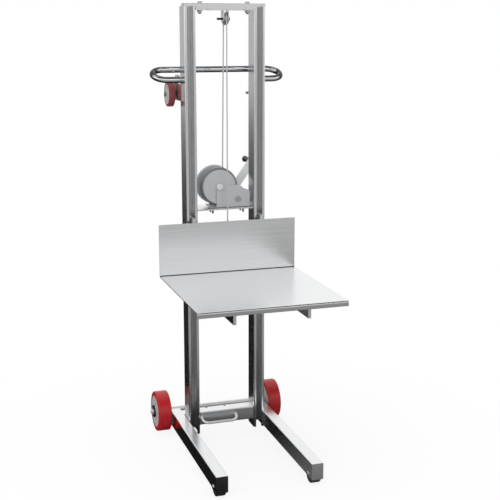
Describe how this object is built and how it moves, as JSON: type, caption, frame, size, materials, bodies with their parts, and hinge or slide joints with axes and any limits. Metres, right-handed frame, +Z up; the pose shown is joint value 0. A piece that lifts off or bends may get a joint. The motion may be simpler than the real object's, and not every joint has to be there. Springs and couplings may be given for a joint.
{
  "type": "winch lift truck",
  "caption": "Hand winch lift truck with channel masts on floor legs, a bent load tray on a roller carriage, a rope over a top sheave, a push handle and wheels.",
  "frame": {"origin": "centre of the bounding box on the floor", "axes": "+Z up along the masts, -Y towards the load tray, +X to the right seen from the tray side"},
  "size_m": [0.518, 0.7605, 1.599],
  "materials": {
    "stainless": "brushed stainless steel",
    "tray_stainless": "finely brushed stainless sheet",
    "chrome": "bright chrome plate",
    "winch_grey": "light grey zinc paint",
    "zinc": "zinc plated steel",
    "dark_steel": "blackened steel",
    "rope_steel": "galvanised wire rope",
    "red_tread": "moulded red polyurethane",
    "hub_grey": "light grey cast hub",
    "black_grip": "moulded black plastic",
    "dark_nylon": "moulded dark nylon",
    "friction_brown": "bonded friction lining"
  },
  "bodies": {
    "frame": {"mast_left": "stainless", "mast_right": "stainless", "top_cap": "stainless", "cap_tabs": "stainless", "cap_bolts": "zinc", "sheave_bracket": "stainless", "sheave_pin": "dark_steel", "winch_shelf": "stainless", "winch_frame": "winch_grey", "winch_bolts": "zinc", "drum_shaft": "zinc", "rope_rear_run": "rope_steel", "rope_front_run": "rope_steel", "friction_discs": "friction_brown", "ratchet_wheel": "zinc", "pawl_pin": "zinc", "push_handle": "chrome", "wheel_bracket_left": "stainless", "wheel_bracket_right": "stainless", "top_wheel_bolts": "zinc", "leg_left": "stainless", "leg_right": "stainless", "front_roller_bolts": "zinc", "base_crossbar": "stainless", "lift_handle": "chrome", "rear_axle": "zinc", "axle_washers": "dark_steel", "split_pins": "zinc"},
    "carriage": {"carriage_plate_left": "stainless", "carriage_plate_right": "stainless", "guide_axles": "zinc", "cross_bar_lower": "stainless", "cross_bar_upper": "stainless", "rope_anchor": "stainless", "tray": "tray_stainless"},
    "drum": {"drum": "winch_grey", "drum_gear": "winch_grey", "rope_winding": "rope_steel"},
    "crank": {"pinion_shaft": "zinc", "crank_arm": "winch_grey", "crank_nut": "zinc", "grip_spindle": "zinc"},
    "grip": {"crank_grip": "black_grip"},
    "pawl": {"pawl": "zinc"},
    "sheave": {"sheave": "zinc"},
    "guide_rollers_left_lower": {"guide_rollers_left_lower": "dark_nylon"},
    "guide_rollers_left_upper": {"guide_rollers_left_upper": "dark_nylon"},
    "rear_wheel_left": {"rear_wheel_hub_left": "hub_grey", "rear_wheel_tyre_left": "red_tread"},
    "top_wheel_left": {"top_wheel_hub_left": "hub_grey", "top_wheel_tyre_left": "red_tread"},
    "front_roller_left": {"front_roller_left": "dark_nylon"},
    "guide_rollers_right_lower": {"guide_rollers_right_lower": "dark_nylon"},
    "guide_rollers_right_upper": {"guide_rollers_right_upper": "dark_nylon"},
    "rear_wheel_right": {"rear_wheel_hub_right": "hub_grey", "rear_wheel_tyre_right": "red_tread"},
    "top_wheel_right": {"top_wheel_hub_right": "hub_grey", "top_wheel_tyre_right": "red_tread"},
    "front_roller_right": {"front_roller_right": "dark_nylon"}
  },
  "joints": [
    {"name": "lift", "type": "slide", "parent": "frame", "child": "carriage", "axis": [0, 0, 1], "range_m": [-0.54, 0.715], "deforming": ["rope_front_run"]},
    {"name": "drum_spin", "type": "hinge", "parent": "frame", "child": "drum", "pos_m": [-0.016, 0.21275, 0.95], "axis": [0, 1, 0], "continuous": true},
    {"name": "crank_spin", "type": "hinge", "parent": "frame", "child": "crank", "pos_m": [0.05304, 0.21275, 0.90343], "axis": [0, 1, 0], "continuous": true},
    {"name": "grip_spin", "type": "hinge", "parent": "crank", "child": "grip", "pos_m": [0.14003, 0.33275, 1.02317], "axis": [0, 1, 0], "continuous": true},
    {"name": "pawl_lift", "type": "hinge", "parent": "frame", "child": "pawl", "pos_m": [0.0202, 0.27175, 0.94122], "axis": [0, 1, 0], "range_deg": [0, 20], "stiffness_Nm_per_rad": 0.05, "springref_deg": -20.05},
    {"name": "sheave_spin", "type": "hinge", "parent": "frame", "child": "sheave", "pos_m": [0.004, 0.16875, 1.54], "axis": [1, 0, 0], "continuous": true},
    {"name": "guide_rollers_left_lower_spin", "type": "hinge", "parent": "carriage", "child": "guide_rollers_left_lower", "pos_m": [-0.126, 0.19075, 0.627], "axis": [1, 0, 0], "continuous": true},
    {"name": "guide_rollers_left_upper_spin", "type": "hinge", "parent": "carriage", "child": "guide_rollers_left_upper", "pos_m": [-0.126, 0.19075, 0.815], "axis": [1, 0, 0], "continuous": true},
    {"name": "rear_wheel_left_spin", "type": "hinge", "parent": "frame", "child": "rear_wheel_left", "pos_m": [-0.218, 0.30475, 0.0755], "axis": [1, 0, 0], "continuous": true},
    {"name": "top_wheel_left_spin", "type": "hinge", "parent": "frame", "child": "top_wheel_left", "pos_m": [-0.1665, 0.29875, 1.277], "axis": [1, 0, 0], "continuous": true},
    {"name": "front_roller_left_spin", "type": "hinge", "parent": "frame", "child": "front_roller_left", "pos_m": [-0.167, -0.31175, 0.032], "axis": [1, 0, 0], "continuous": true},
    {"name": "guide_rollers_right_lower_spin", "type": "hinge", "parent": "carriage", "child": "guide_rollers_right_lower", "pos_m": [0.126, 0.19075, 0.627], "axis": [1, 0, 0], "continuous": true},
    {"name": "guide_rollers_right_upper_spin", "type": "hinge", "parent": "carriage", "child": "guide_rollers_right_upper", "pos_m": [0.126, 0.19075, 0.815], "axis": [1, 0, 0], "continuous": true},
    {"name": "rear_wheel_right_spin", "type": "hinge", "parent": "frame", "child": "rear_wheel_right", "pos_m": [0.218, 0.30475, 0.0755], "axis": [1, 0, 0], "continuous": true},
    {"name": "top_wheel_right_spin", "type": "hinge", "parent": "frame", "child": "top_wheel_right", "pos_m": [0.1665, 0.29875, 1.277], "axis": [1, 0, 0], "continuous": true},
    {"name": "front_roller_right_spin", "type": "hinge", "parent": "frame", "child": "front_roller_right", "pos_m": [0.167, -0.31175, 0.032], "axis": [1, 0, 0], "continuous": true}
  ],
  "couplings": [
    {"joint": "drum_spin", "follows": "lift", "rad_per_m": 50},
    {"joint": "crank_spin", "follows": "lift", "rad_per_m": -250},
    {"joint": "sheave_spin", "follows": "lift", "rad_per_m": -51.282},
    {"joint": "guide_rollers_left_lower_spin", "follows": "lift", "rad_per_m": -35.088},
    {"joint": "guide_rollers_left_upper_spin", "follows": "lift", "rad_per_m": 35.088},
    {"joint": "guide_rollers_right_lower_spin", "follows": "lift", "rad_per_m": -35.088},
    {"joint": "guide_rollers_right_upper_spin", "follows": "lift", "rad_per_m": 35.088}
  ]
}
